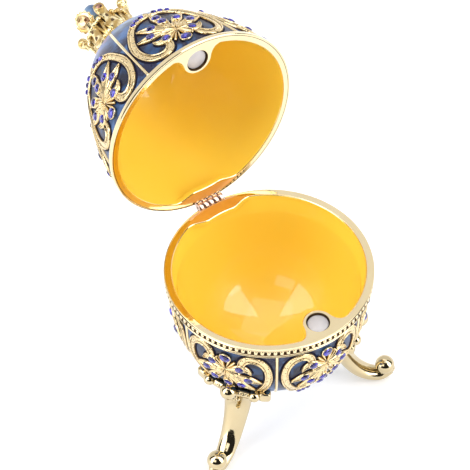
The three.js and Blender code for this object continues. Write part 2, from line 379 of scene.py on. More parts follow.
def tetrahedra(vertices, triangles):
    """Six times the volume between the triangles and each solid's first vertex."""
    a, b, c = (vertices[:, triangles[:, i]] - vertices[:, :1] for i in range(3))
    return np.einsum("sij,sij->s", a, np.cross(b, c))


def gather(*parts):
    """Several lofts as one list of vertices and faces."""
    vertices, quads, triangles, shift = [], [], [], 0
    for points, (four, three) in parts:
        vertices.append(points)
        quads.append(four + shift)
        triangles.append(three + shift)
        shift += len(points)
    return np.concatenate(vertices), [np.concatenate(quads), np.concatenate(triangles)]


def smoothstep(value, low, high):
    """Eases from 0 below low to 1 above high: share ** 2 * (3 - 2 * share)."""
    share = np.clip((value - low) / (high - low), 0, 1)
    return share * share * (3 - 2 * share)


def opening_edge(azimuth):
    """The rim flat's inside edge by azimuth: a circle that comes in by a smooth step to the
    hinge ledge, and round the boss by a circle about the magnet with a hollow fillet to
    either side."""
    ledge = 1 - smoothstep(np.abs(azimuth - 90), LEDGE_HALF, LEDGE_HALF + LEDGE_BLEND)
    edge = OPENING - LEDGE_REACH * ledge
    off = np.radians(np.abs(azimuth - 270))
    tangent = math.asin(BOSS_RADIUS / -BOSS_Y)
    chord = np.sqrt(np.clip(BOSS_RADIUS ** 2 - (BOSS_Y * np.sin(off)) ** 2, 0, None))
    inner = -BOSS_Y * np.cos(off) - chord
    start = -BOSS_Y * math.cos(tangent)
    share = np.clip((off - tangent) / math.radians(FILLET_TURN), 0, 1)
    fillet = start + (edge - start) * np.sqrt(np.clip(1 - (1 - share) ** 2, 0, 1))
    return np.where(off < tangent, inner, np.minimum(edge, fillet))


# closer steps round the ledge, and closest round the boss
SHELL_AZIMUTHS = np.concatenate([np.linspace(start, end, count, endpoint=False) for start, end, count in (
    (0, 55, 36), (55, 125, 56), (125, 252, 84), (252, 288, 100), (288, 360, 48))])
SHELL_ROWS = 60
POLE_RADIUS = 0.02
# the recess strips are painted dark, as shade
ENAMEL, GOLD, RECESS_SHADE, YELLOW, LEDGE_REFLECTION = range(5)


def shell(half, band):
    """One half as a closed shell. Its rings run from the inside pole along the wall, under and
    over the rim flat, down the outside band and along the enamel to the outside pole. Returns
    the rings and the material of each strip between two of them."""
    cos, sin = np.cos(np.radians(SHELL_AZIMUTHS)), np.sin(np.radians(SHELL_AZIMUTHS))
    edge = opening_edge(SHELL_AZIMUTHS)
    boss = smoothstep(OPENING - LEDGE_REACH - edge, -0.2, 1.2)
    deep = LEDGE_DEPTH + (BOSS_DEPTH - LEDGE_DEPTH) * boss
    rings, paints = [], []

    def ring(r, z, paint):
        r, z = np.broadcast_arrays(r, z, SHELL_AZIMUTHS)[:2]
        rings.append(np.stack([r * cos, r * sin, z], -1))
        paints.append(paint)

    r, z, out, up = outline(half, half["end"] * (1 - np.linspace(0.004, 1, SHELL_ROWS) ** 1.15))
    inside_r, inside_z = r - WALL * out, z - WALL * up
    flare_top, flare_end = 0.3, 7.0

    def wall(z):
        # the wall's inside, opening out to the rim's edge over the last few millimetres
        reach, top_reach = (np.interp(at, inside_z[::-1], inside_r[::-1]) for at in (z, flare_top))
        return reach + (OPENING - top_reach) * (1 - smoothstep(z, flare_top, flare_end))

    for z in inside_z[inside_z > BOSS_DEPTH + 0.4]:
        ring(max(wall(z), POLE_RADIUS), z, YELLOW)
    # the undersides of the boss and the ledge, and their walls up to the opening
    for grow, z in ((3.0, deep + 0.3), (0.6, deep + 0.02), (0.25, deep), (0.05, deep - 0.15),
                    (0.0, deep - 0.4), (0.0, 0.55), (0.02, 0.32)):
        ring(np.minimum(wall(z), edge + grow), z, YELLOW)
    # the rim flat, with its inside edge rounded over
    ring(edge + 0.08, 0.14, GOLD)
    ring(edge + 0.2, 0.04, GOLD)
    # the hinge ledge is painted a deeper orange up to the barrel, as painted reflection of the yellow inside
    ledge = 1 - smoothstep(np.abs(SHELL_AZIMUTHS - 90), REFLECTION_HALF, REFLECTION_HALF + REFLECTION_BLEND)
    ring(edge + 0.4, 0.0, np.where(ledge > 0.01, LEDGE_REFLECTION, GOLD))
    reflection_edge = edge + 0.45 + (REFLECTION_REACH - edge - 0.45) * ledge
    outer = band[0][0]
    for share in (0.0, 0.33, 0.67):
        ring(reflection_edge + (outer - reflection_edge) * share, 0.0, GOLD)
    for r, z, paint in band:
        ring(r, z, paint)
    start = half["distance"][np.searchsorted(half["z"], band[-1][1] + 0.1)]
    for s in np.linspace(start, half["end"], SHELL_ROWS):
        r, z, _, _ = outline(half, s)
        ring(max(r, POLE_RADIUS), z, ENAMEL)
    strips_paint = [np.broadcast_to(paint, SHELL_AZIMUTHS.shape) for paint in paints[:-1]]
    return np.array(rings), np.stack(strips_paint)


# the outside of the rims: (radius, depth from the rim plane, finish of the strip that follows)
# the grooves' strips are painted dark, as shade
BOWL_BAND = [
    (29.5, 0.0, GOLD), (29.85, 0.03, GOLD), (RIM, 0.12, GOLD), (RIM, 0.34, GOLD),
    (29.9, 0.42, RECESS_SHADE), (29.4, 0.5, RECESS_SHADE), (29.4, 2.1, RECESS_SHADE),
    (29.9, 2.16, GOLD), (RIM, 2.22, GOLD), (RIM, 2.42, GOLD),
    (29.9, 2.5, RECESS_SHADE), (29.5, 2.54, RECESS_SHADE), (29.5, 2.74, RECESS_SHADE),
    (29.85, 2.8, GOLD), (29.92, 2.86, GOLD), (29.92, 3.04, GOLD), (29.8, 3.12, GOLD),
    (28.6, 3.25, ENAMEL),
]
LID_BAND = [
    (29.3, 0.0, RECESS_SHADE), (29.38, 0.12, RECESS_SHADE), (29.46, 0.0, GOLD), (29.85, 0.02, GOLD),
    (RIM, 0.15, GOLD), (RIM, 1.25, GOLD), (29.85, 1.45, GOLD), (29.3, 1.55, ENAMEL),
]


def clouded(name, low, high, scale, detail, roughness, haze=0.0, grain=0.0, **constants):
    """A finish whose colour drifts from low to high in soft clouds, and whose roughness rises
    with them by the haze. A grain, as a noise scale, adds a fine bump."""
    material, surface, build = shader(name, low, roughness, **constants)
    cloud = clouds(build, scale, detail)
    feed(surface, "Base Color", cloud.mix(rgba(*low), rgba(*high)))
    if haze:
        feed(surface, "Roughness", roughness + cloud * haze)
    if grain:
        fine = clouds(build, grain, 2.0)
        feed(surface, "Normal", build.out("ShaderNodeBump", Height=fine, Strength=0.12, Distance=0.0002))
    return material


def gold_finish(name, shade=1.0):
    """Pale gold plate: mirror bright, a little uneven in colour, with faint handling haze.
    A shade below one darkens the gold, as painted shade."""
    low, high = np.array([(0.78, 0.62, 0.36), (0.88, 0.75, 0.49)]) * shade
    return clouded(name, low, high, scale=160.0, detail=3.0, roughness=0.049, haze=0.042, grain=500.0,
                   Metallic=1.0)


gold = gold_finish("gold_plate")
# dark brown: the hinge pin's own colour, and painted shade in the grooves, cut walls and crown hollows
oxide_and_shade = clouded("dark_oxide_and_painted_shade", (0.03, 0.014, 0.008), (0.20, 0.11, 0.04), scale=700.0, detail=2.0,
                roughness=0.5, Metallic=0.4)
yellow = clouded("yellow_enamel", (0.95, 0.635, 0.052), (0.97, 0.70, 0.088), scale=25.0, detail=3.0,
                 roughness=0.35, haze=0.1, Coat_Weight=0.9, Coat_Roughness=0.02)
# the hinge ledges' orange: painted reflection of the yellow inside, darkened as painted shade
orange = clouded("painted_ledge_reflection", (0.58, 0.21, 0.02), (0.78, 0.35, 0.035), scale=250.0, detail=3.0,
                 roughness=0.25, haze=0.15, Coat_Weight=0.5, Coat_Roughness=0.1)

# the enamel is slate blue and mottled, pearly and painted with sheen near the poles, and darkest inside the
# scrolls
enamel, enamel_surface, build = shader("blue_enamel", (0.08, 0.13, 0.25), 0.3, Specular_IOR_Level=0.3)
place = own_place(build)
warp = build.out("ShaderNodeTexNoise", result=1, Vector=place, Scale=60.0, Detail=2.0)
DRIFT = 0.012
drift = build.out("ShaderNodeVectorMath", {"operation": "MULTIPLY_ADD"}, i0=warp, i1=(DRIFT,) * 3, i2=place)
cloud = build.out("ShaderNodeTexNoise", Vector=drift, Scale=150.0, Detail=4.0, Roughness=0.6)
mottle = build.out("ShaderNodeMapRange", Value=cloud, From_Min=0.42, From_Max=0.60)
# pale pearly streaks over the slate towards the poles, partly painted sheen
pearl_and_sheen_streaks = build.out("ShaderNodeTexWave", {"bands_direction": "DIAGONAL"}, Vector=drift, Scale=55.0,
                  Distortion=9.0, Detail=2.0)
slate = mottle.mix(rgba(0.010, 0.012, 0.045), rgba(0.05, 0.13, 0.32))
tints = build.out("ShaderNodeTexNoise", Vector=drift, Scale=90.0, Detail=1.0)
PEARL_AND_SHEEN_STOPS = [(0.38, (0.36, 0.32, 0.62)), (0.5, (0.22, 0.36, 0.66)), (0.60, (0.46, 0.64, 0.80))]
sheen = build.out("ShaderNodeValToRGB", {"stops": PEARL_AND_SHEEN_STOPS}, Fac=tints)
towards_pole = build.out("ShaderNodeAttribute", {"attribute_name": "towards_pole"}, result=2)
inside_ring = build.out("ShaderNodeAttribute", {"attribute_name": "inside_ring"}, result=2)
outer_field = ((0.35 + pearl_and_sheen_streaks * 0.65) * towards_pole).mix(slate, sheen)
inner_field = mottle.mix(rgba(0.002, 0.004, 0.022), rgba(0.012, 0.065, 0.19))
feed(enamel_surface, "Base Color", inside_ring.mix(outer_field, inner_field))
feed(enamel_surface, "Roughness", 0.2 + cloud * 0.2)

# centre line of a scroll's right half, from the apex to its curled end: (x, s, width)
SCROLL_LINE = np.array([
    (0, 27.2, 2.0), (3.2, 26.7, 2.0), (6.0, 25.0, 2.0), (8.3, 22.2, 2.1), (9.9, 19.2, 2.1),
    (11.4, 15.8, 2.2), (12.2, 12.2, 2.2), (12.1, 8.6, 2.2), (11.1, 5.7, 2.4), (9.3, 4.0, 2.6),
    (7.3, 3.6, 2.7), (5.6, 4.5, 2.6), (4.7, 6.2, 2.3), (4.3, 8.0, 1.6),
])


def smooth_line(points, count):
    """A curve through the points: a cubic Hermite with tangents from each point's neighbours,
    sampled evenly along the chords between the points."""
    points = np.asarray(points, dtype=float)
    chord = np.concatenate([[0], np.cumsum(np.linalg.norm(np.diff(points[:, :2], axis=0), axis=1))])
    tangent = np.gradient(points, chord, axis=0)
    at = np.linspace(0, chord[-1], count)
    i = np.clip(np.searchsorted(chord, at, side="right") - 1, 0, len(points) - 2)
    span = (chord[i + 1] - chord[i])[:, None]
    t = (at[:, None] - chord[i][:, None]) / span
    return ((2 * t ** 3 - 3 * t ** 2 + 1) * points[i] + (t ** 3 - 2 * t ** 2 + t) * span * tangent[i]
            + (3 * t ** 2 - 2 * t ** 3) * points[i + 1] + (t ** 3 - t ** 2) * span * tangent[i + 1])


SOCKET_RADIUS, SOCKET_DEPTH = 3.35, 2.9
BARREL_ROOM, BARREL_HALF = 1.72, 4.5
# in the order of the numbers that the strips are painted with
FINISHES = [enamel, gold, oxide_and_shade, yellow, orange]
SHARP_TURN = math.radians(38)


def cutters(barrel_z):
    """The magnet's socket and the room for the hinge barrel, each as two rings of a cylinder."""
    turn = full_turn(64)
    circle = np.stack([np.cos(turn), np.sin(turn), 0 * turn], -1) * SOCKET_RADIUS
    socket = circle + [0, BOSS_Y, 0] + np.array([-1.0, SOCKET_DEPTH])[:, None, None] * [0, 0, 1]
    barrel = np.stack([0 * turn, np.cos(turn), np.sin(turn)], -1) * BARREL_ROOM + [0, HINGE_Y, barrel_z]
    return socket, barrel + np.array([-BARREL_HALF, BARREL_HALF])[:, None, None] * [1, 0, 0]


def mark(piece, title, values):
    """Stores a number at each point of a piece, for its finish to read."""
    attribute = piece.data.attributes.new(title, "FLOAT", "POINT")
    attribute.data.foreach_set("value", np.asarray(values, dtype=np.float32))


def cast_half(name, half, band, node, barrel_z):
    """A whole casting: its shell, painted by strips, with the socket and the barrel cut out."""
    rings, paints = shell(half, band)
    vertices, faces = loft(half["place"](rings)[None])
    ends = np.repeat([YELLOW, ENAMEL], len(SHELL_AZIMUTHS))
    piece = add_piece(name, vertices, faces, FINISHES, np.concatenate([paints.ravel(), ends]))
    # how far each point is towards the pole, for the painted sheen, and whether it is inside a scroll
    points = np.concatenate([rings.reshape(-1, 3), rings[[0, -1]].mean(axis=1)])
    s = np.interp(points[:, 2], half["z"], half["distance"])
    azimuth = np.degrees(np.arctan2(points[:, 1], points[:, 0])) % 60 - 30
    x = np.abs(np.radians(azimuth)) * np.hypot(points[:, 0], points[:, 1])
    curve = smooth_line(SCROLL_LINE, 200)
    outer = curve[:np.argmin(curve[:, 1]) + 1][::-1]
    mark(piece, "inside_ring", x < np.interp(s - half["first"], outer[:, 1], outer[:, 0], left=0, right=0))
    mark(piece, "towards_pole", smoothstep(s, half["end"] * 0.5, half["end"] * 0.75))
    tools = []
    for part in cutters(barrel_z):
        points, faces = loft(half["place"](part)[None])
        # the cut walls are painted dark, as shade in the socket and round the barrel
        paint = np.full(sum(len(corners) for corners in faces), RECESS_SHADE)
        tools.append(add_piece(f"{name}_tool", points, faces, FINISHES, paint))
        carve = piece.modifiers.new("carve", "BOOLEAN")
        carve.object, carve.operation, carve.solver = tools[-1], "DIFFERENCE", "EXACT"
    carved = bpy.data.meshes.new_from_object(piece.evaluated_get(bpy.context.evaluated_depsgraph_get()))
    piece.modifiers.clear()
    piece.data = carved
    carved.set_sharp_from_angle(angle=SHARP_TURN)
    for tool in tools:
        bpy.data.objects.remove(tool)
    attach(piece, half["body"])
    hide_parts(node)


cast_half("bowl_casting", BOWL, BOWL_BAND, "bowl", -HINGE_Z)
cast_half("lid_casting", LID, LID_BAND, "lid", HINGE_Z - PARTING_GAP)

# ---- ribs between the panels ----
# A thin half-round rib stands up from each half between every two panels, part of the
# casting and gold plated. It keeps its width from the rim nearly to the pole.
RIB_WIDTH, RIB_HEIGHT = 0.95, 0.5


def strips(half, azimuths, line, width, height, section, sink=0.25):
    """Raised strips laid along a line of (x, s) points. The section is a list of
    (share of the width from -1 to 1, share of the height), and the strip is sunk a little
    into the enamel. Returns a loft with one solid for each azimuth."""
    line = np.asarray(line)
    along = np.gradient(line, axis=0)
    along /= np.linalg.norm(along, axis=1)[:, None]
    across = np.stack([along[:, 1], -along[:, 0]], -1)
    width, height = np.broadcast_arrays(width, height, line[:, 0])[:2]
    place_across = np.array([place for place, _ in section] + [section[-1][0], section[0][0]])
    up = np.array([share for _, share in section] + [0, 0])
    low = np.array([0.0] * len(section) + [-sink, -sink])
    spots = line[:, None, :] + across[:, None, :] * (width[:, None] / 2 * place_across)[..., None]
    lift = height[:, None] * up + low
    return loft(np.stack([on_egg(half, azimuth, spots[..., 0], spots[..., 1], lift) for azimuth in azimuths]))


HALF_ROUND = [(-1, 0.0), (-0.85, 0.5), (-0.45, 0.88), (0, 1.0), (0.45, 0.88), (0.85, 0.5), (1, 0.0)]
for name, half, start, reach in (("bowl_ribs", BOWL, 3.0, 0.985), ("lid_ribs", LID, 1.2, 0.9)):
    s = np.linspace(start, half["end"] * reach, 40)
    ribs = strips(half, PANEL_CENTRES + 30, np.stack([0 * s, s], -1), RIB_WIDTH, RIB_HEIGHT, HALF_ROUND)
    piece = add_piece(name, *ribs, [gold])
    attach(piece, half["body"])

# ---- scroll rings ----
# A broad C-shaped scroll rings each panel, open towards the rim, where its two ends curl in.
# The band is stippled between two smooth raised edges. A strip of painted shade lies dark on the enamel along
# it.
SCROLL_HEIGHT, SCROLL_STEPS = 0.75, 90
SCROLL_SHADE_HEIGHT, SCROLL_SHADE_MARGIN = 0.07, 1.1
FLAT_SECTION = [(-1, 0.0), (-0.9, 1.0), (0.9, 1.0), (1, 0.0)]


def mirrored(side, middle):
    """A section from its left side and its middle point."""
    return [*side, middle, *[(-place, share) for place, share in side[::-1]]]


BAND_SECTION = mirrored(
    [(-1, 0.0), (-0.96, 0.6), (-0.88, 0.95), (-0.74, 0.95), (-0.64, 0.35), (-0.52, 0.62)], (0, 0.66))


def relief(piece, *parts):
    """Gives each point of a piece its height in the relief, from 0 in the hollows to 1 on
    top, for the finish that is darker where it is low. Parts are (section, steps)."""
    values = []
    for section, steps in parts:
        ring = [share for _, share in section] + [0, 0]
        values.append(np.tile(ring * steps + [0, 0], PANELS))
    mark(piece, "relief", np.concatenate(values))


def relief_toned_gold(name, pitted):
    """Gold plate, dark brown where the relief is low and brighter and glossier on top. Pitted
    gold also has rows of small punched dots."""
    material, surface, build = shader(name, (0.88, 0.70, 0.36), 0.2, Metallic=1.0)
    shade = clouds(build, 500.0, 2.0)
    bright = shade.mix(rgba(0.72, 0.53, 0.27), rgba(0.94, 0.77, 0.46))
    if pitted:
        dots = build.out("ShaderNodeTexVoronoi", Vector=own_place(build), Scale=1150.0, Randomness=0.7)
        level = build.out("ShaderNodeMapRange", Value=dots, From_Min=0.15, From_Max=0.32)
        bright = level.mix(rgba(0.20, 0.11, 0.05), bright)
    else:
        level = shade
    tall = build.out("ShaderNodeAttribute", {"attribute_name": "relief"}, result=2)
    height_share = build.out("ShaderNodeMapRange", Value=tall, From_Min=0.24, From_Max=0.58)
    feed(surface, "Base Color", height_share.mix(rgba(0.14, 0.08, 0.035), bright))
    feed(surface, "Roughness", 0.45 - height_share * 0.28)
    feed(surface, "Normal", build.out("ShaderNodeBump", Height=level, Strength=0.5, Distance=0.0002))
    return material


stipple = relief_toned_gold("stippled_gold", True)
relief_gold = relief_toned_gold("relief_toned_gold", False)

# painted shade: thin near-black strips on the enamel along the scrolls and the leaves
edge_shade = clouded("painted_edge_shade", (0.004, 0.003, 0.008), (0.02, 0.02, 0.05), scale=300.0, detail=2.0,
               roughness=0.5, Specular_IOR_Level=0.05)

curve = smooth_line(SCROLL_LINE, SCROLL_STEPS)
curve = np.concatenate([(curve * [-1, 1, 1])[:0:-1], curve])
for name, half in (("bowl", BOWL), ("lid", LID)):
    line, width = curve[:, :2] + [0, half["first"]], curve[:, 2]
    scrolls = strips(half, PANEL_CENTRES, line, width, SCROLL_HEIGHT, BAND_SECTION)
    piece = add_piece(f"{name}_scrolls", *scrolls, [stipple])
    relief(piece, (BAND_SECTION, len(line)))
    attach(piece, half["body"])
    # a strip of painted shade on the enamel along each scroll
    shade_strips = strips(half, PANEL_CENTRES, line, width + SCROLL_SHADE_MARGIN, SCROLL_SHADE_HEIGHT, FLAT_SECTION)
    piece = add_piece(f"{name}_scroll_edge_shade", *shade_strips, [edge_shade])
    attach(piece, half["body"])

# ---- palmettes ----
# A fluted fan fills the middle of each panel, with pointed leaves round it that carry the
# stones. The fan and the leaves are cast with the shell and stand a little proud of the scroll.
# leaves as (x, s, width) from the root through the stone to the tip
MIDDLE_LEAVES = [
    [(0, 13.0, 1.8), (0, 15.5, 2.2), (0, 18.2, 3.3), (0, 20.2, 2.5), (0, 22.0, 3.1), (0, 24.2, 1.9),
     (0, 26.3, 0.3)],
    [(0, 26.0, 1.3), (0, 27.4, 2.0), (0, 28.8, 1.4), (0, 30.0, 0.3)],
]
# the right side's, which the left side mirrors
SIDE_LEAVES = [
    [(1.2, 10.8, 1.8), (2.6, 9.5, 2.6), (4.1, 8.7, 3.3), (5.5, 8.5, 2.6), (6.7, 9.2, 1.6), (7.5, 10.6, 0.3)],
    [(1.4, 12.0, 1.8), (3.8, 12.9, 2.2), (6.4, 13.7, 3.3), (8.4, 14.3, 2.1), (10.2, 14.9, 0.3)],
    [(1.0, 13.0, 1.8), (2.4, 15.0, 2.3), (4.1, 17.3, 3.3), (5.7, 18.9, 2.1), (7.5, 20.3, 0.3)],
]
LEAF_SECTION = mirrored(
    [(-1, 0.0), (-0.92, 0.7), (-0.78, 0.95), (-0.62, 0.8), (-0.42, 0.35), (-0.2, 0.5)], (0, 0.9))
LEAF_HEIGHT, LEAF_STEPS = 0.85, 16
LEAF_SHADE_HEIGHT, LEAF_SHADE_MARGIN = 0.08, 0.9
FAN_CENTRE = (0.0, 9.9)
FLUTES, FLUTE_STEPS, FLUTE_LENGTH = 18, 8, 5.0
FLUTE_WIDTHS = (0.12, 0.33, 0.62, 0.92, 0.6)


def flute_lines():
    """The fan's flutes: drop-shaped ribs from the middle outwards, spread all the way round but
    for a gap towards the rim."""
    for turn in np.radians(np.linspace(-72, 252, FLUTES)):
        heading = np.array([math.cos(turn), math.sin(turn)])
        reach = np.array([0.3, 1.2, 2.2, 3.2, FLUTE_LENGTH - 0.5 * abs(math.cos(turn))])
        yield np.column_stack([FAN_CENTRE + reach[:, None] * heading, FLUTE_WIDTHS])


leaf_lines = [smooth_line(points, LEAF_STEPS) for points in MIDDLE_LEAVES]
for points in SIDE_LEAVES:
    line = smooth_line(points, LEAF_STEPS)
    leaf_lines += [line, line * [-1, 1, 1]]
swell = LEAF_HEIGHT * (1.0 + 0.35 * np.sin(np.linspace(0.2, math.pi, FLUTE_STEPS)))
for name, half in (("bowl", BOWL), ("lid", LID)):
    first = [0, half["first"]]
    leaves, shade_strips = [], []
    for line in leaf_lines:
        rows, width = line[:, :2] + first, line[:, 2]
        leaves.append(strips(half, PANEL_CENTRES, rows, width, LEAF_HEIGHT, LEAF_SECTION))
        shade_strips.append(
            strips(half, PANEL_CENTRES, rows, width + LEAF_SHADE_MARGIN, LEAF_SHADE_HEIGHT, FLAT_SECTION))
    for points in flute_lines():
        line = smooth_line(points, FLUTE_STEPS)
        leaves.append(strips(half, PANEL_CENTRES, line[:, :2] + first, line[:, 2], swell, HALF_ROUND))
    piece = add_piece(f"{name}_palmettes", *gather(*leaves), [relief_gold])
    relief(piece, *[(LEAF_SECTION, LEAF_STEPS)] * len(leaf_lines), *[(HALF_ROUND, FLUTE_STEPS)] * FLUTES)
    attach(piece, half["body"])
    # strips of painted shade on the enamel round the leaves
    piece = add_piece(f"{name}_leaf_edge_shade", *gather(*shade_strips), [edge_shade])
    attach(piece, half["body"])

# ---- glass stones ----
# Royal blue foiled glass stones, cut with a flat table and two rows of facets, glued into
# the leaves and along the apex of each scroll. Each sits in a thin gold collar.
# stones as (x, s, half length round the egg, half length along it); the left side mirrors the right
MIDDLE_STONES = [(0.0, 5.2, 1.6, 1.4), (0.0, 18.3, 1.3, 1.3), (0.0, 21.9, 1.3, 1.3)]
SIDE_STONES = [
    (4.1, 8.8, 1.3, 1.25), (6.4, 13.7, 1.3, 1.25), (4.1, 17.4, 1.3, 1.25),
    (2.1, 27.3, 0.92, 0.92), (3.9, 26.7, 0.92, 0.92), (5.5, 25.5, 0.85, 0.85),
]
STONES = MIDDLE_STONES + [(x * way, *rest) for x, *rest in SIDE_STONES for way in (1, -1)]
STONE_SEAT, STONE_SIDES, COLLAR_SIDES = 0.75, 8, 16
# a stone's foot, girdle, mid facets and table: (share of its size, height, turn in steps)
STONE_CUT = [(0.92, -0.35, 0), (1.0, 0.12, 0), (0.86, 0.42, 0.5), (0.5, 0.68, 0)]
# a collar round the girdle, higher outside: (how far past the stone, height)
COLLAR_STEPS = [(0.22, -0.75), (0.2, 0.0), (0.1, 0.12), (0.0, 0.1), (-0.06, -0.1)]


def ellipse(half, azimuth, x, s, wide, long, lift, angle):
    """A ring on the egg: x and s plus the half lengths times the angle's cosine and sine."""
    return on_egg(half, azimuth, x + wide * np.cos(angle), s + long * np.sin(angle), STONE_SEAT + lift)


def stone_rings(half, azimuth, x, s, wide, long):
    """A cut stone, as an ellipse at each step of its cut."""
    angle = full_turn(STONE_SIDES)
    return np.stack([ellipse(half, azimuth, x, s, wide * share, long * share, lift, angle + twist * angle[1])
                     for share, lift, twist in STONE_CUT])


def collar_rings(half, azimuth, x, s, wide, long):
    """A stone's collar, as an ellipse at each of its steps."""
    angle = full_turn(COLLAR_SIDES)
    return np.stack([ellipse(half, azimuth, x, s, wide + grow, long + grow, lift, angle)
                     for grow, lift in COLLAR_STEPS])


def foiled_glass(name, low, high, cells, roughness, metallic, contrast=1.0, coat_roughness=0.03):
    """Clear glass over bright foil, in which each small cell gets its own brightness from low
    to high, as painted glints of the facets. More contrast leaves fewer of them bright."""
    material, surface, build = shader(name, high, roughness, Metallic=metallic, Coat_Weight=1.0,
                                      Coat_Roughness=coat_roughness)
    patches = build.out("ShaderNodeTexVoronoi", result=1, Vector=own_place(build), Scale=cells)
    flash = build.out("ShaderNodeSeparateColor", Color=patches)
    feed(surface, "Base Color", (flash ** contrast).mix(rgba(*low), rgba(*high)))
    return material


blue_glass = foiled_glass("blue_glass", (0.007, 0.004, 0.08), (0.07, 0.055, 0.60), cells=1100.0,
                          roughness=0.04, metallic=0.55, contrast=2.0, coat_roughness=0.02)
for name, half in (("bowl", BOWL), ("lid", LID)):
    places = [(azimuth, x, s + half["first"], wide, long)
              for azimuth in PANEL_CENTRES for x, s, wide, long in STONES]
    stones = np.stack([stone_rings(half, *place) for place in places])
    piece = add_piece(f"{name}_stones", *loft(stones), [blue_glass], smooth=False)
    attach(piece, half["body"])
    collars = np.stack([collar_rings(half, *place) for place in places])
    piece = add_piece(f"{name}_collars", *loft(collars), [gold])
    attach(piece, half["body"])

# ---- rim beads ----
# A row of square beads runs round the bowl just under its rim, cast with the bowl and
# bright against the dark groove behind them.
# the groove behind the beads is painted dark, as shade
BEADS = 104
BEAD_SIZE = (0.56, 0.74, 0.48)
BEAD_REACH, BEAD_DROP, GROOVE_REACH = 29.55, 1.32, 29.6


def pillow_rings(size, count=5, sides=8, power=0.5):
    """A squared bead about the origin: a superellipsoid with the given half sizes, where cosines
    and sines are raised to the power with their sign kept."""
    up = np.linspace(-math.pi / 2, math.pi / 2, count + 2)[1:-1, None]
    turn = full_turn(sides)[None] + math.pi / sides

    def soft(value):
        return np.sign(value) * np.abs(value) ** power

    return np.stack([soft(np.cos(up)) * soft(np.cos(turn)), soft(np.cos(up)) * soft(np.sin(turn)),
                     soft(np.sin(up)) + 0 * turn], -1) * size


bead = pillow_rings(BEAD_SIZE)
turns = full_turn(BEADS)[:, None, None]
reach = BEAD_REACH + bead[..., 2]
angle = turns + bead[..., 0] / GROOVE_REACH
rings = np.stack([reach * np.cos(angle), reach * np.sin(angle), BEAD_DROP + bead[..., 1] + 0 * turns], -1)
beads = add_piece("bowl_beads", *loft(place_bowl(rings)), [gold])
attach(beads, "base")

# ---- magnets ----
# A plain nickel-plated disc is glued into the socket of each boss, a little below its mouth.
MAGNET_RADIUS, MAGNET_THICK, MAGNET_RECESS, MAGNET_BEVEL = 3.0, 2.0, 0.6, 0.2

nickel = clouded("nickel_plate", (0.46, 0.44, 0.46), (0.66, 0.63, 0.62), scale=350.0, detail=4.0,
                 roughness=0.4, haze=0.2, Metallic=0.5)


def revolved(profile, sides):
    """Rings about the Z axis through a profile of (radius, height) steps."""
    turn = full_turn(sides)
    return np.stack([np.stack([r * np.cos(turn), r * np.sin(turn), z + 0 * turn], -1) for r, z in profile])


def disc(radius, low, high, bevel, sides=64):
    """A disc about the Z axis with rounded edges."""
    rising = [(radius - bevel, low), (radius - bevel * 0.3, low + bevel * 0.3), (radius, low + bevel)]
    return revolved(rising + [(r, low + high - z) for r, z in rising[::-1]], sides)


for node, half in (("magnet_bowl", BOWL), ("magnet_lid", LID)):
    rings = disc(MAGNET_RADIUS, MAGNET_RECESS, MAGNET_RECESS + MAGNET_THICK, MAGNET_BEVEL) + [0, BOSS_Y, 0]
    piece = add_piece(f"{node}_disc", *loft(half["place"](rings)[None]), [nickel])
    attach(piece, half["body"])
    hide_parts(node)

# ---- hinge ----
# Five brass knuckles turn on one pin, three on the bowl's leaf and two on the lid's. The
# leaves are soldered into the ledges. The brass has a coppery plate, and the pin is dark.
KNUCKLES, KNUCKLE_RADIUS, KNUCKLE_GAP, HINGE_HALF = 5, 1.5, 0.35, 4.2
PIN_RADIUS, PIN_PAST = 0.45, 0.02
LEAF_REACH, LEAF_THICK, LEAF_SKIN, LEAF_CLEAR = 4.2, 0.85, 0.05, 0.32
TONGUE_FROM, TONGUE_TO = -KNUCKLE_RADIUS - 0.5, -0.4
HINGE_BEVEL, PIN_BEVEL, PLATE_SIDES = 0.12, 0.1, 32

copper_gold = clouded("copper_gold", (0.58, 0.34, 0.24), (0.86, 0.70, 0.58), scale=400.0, detail=3.0,
                      roughness=0.12, haze=0.14, Metallic=1.0)
pitch = (2 * HINGE_HALF + KNUCKLE_GAP) / KNUCKLES


def barrel_rings(radius, start, end, bevel, sides=32):
    """A barrel along X about the hinge axis, with rounded ends."""
    return disc(radius, start, end, bevel, sides)[..., [2, 0, 1]]


def plate_rings(low, high):
    """A flat plate between two corners with rounded edges, as rings stacked along Z."""
    low, high = np.array(low), np.array(high)
    middle, half_size = (low + high) / 2, (high - low) / 2
    turn = full_turn(PLATE_SIDES) + math.pi / PLATE_SIDES
    square = np.stack([np.cos(turn), np.sin(turn)], -1)
    square /= np.abs(square).max(axis=1)[:, None] ** 0.9
    steps = [(HINGE_BEVEL, -1.0), (0.0, HINGE_BEVEL - 1.0), (0.0, 1.0 - HINGE_BEVEL), (HINGE_BEVEL, 1.0)]
    rings = [np.column_stack([square * (half_size[:2] - inset), np.full(PLATE_SIDES, level * half_size[2])])
             for inset, level in steps]
    return np.stack(rings) + middle


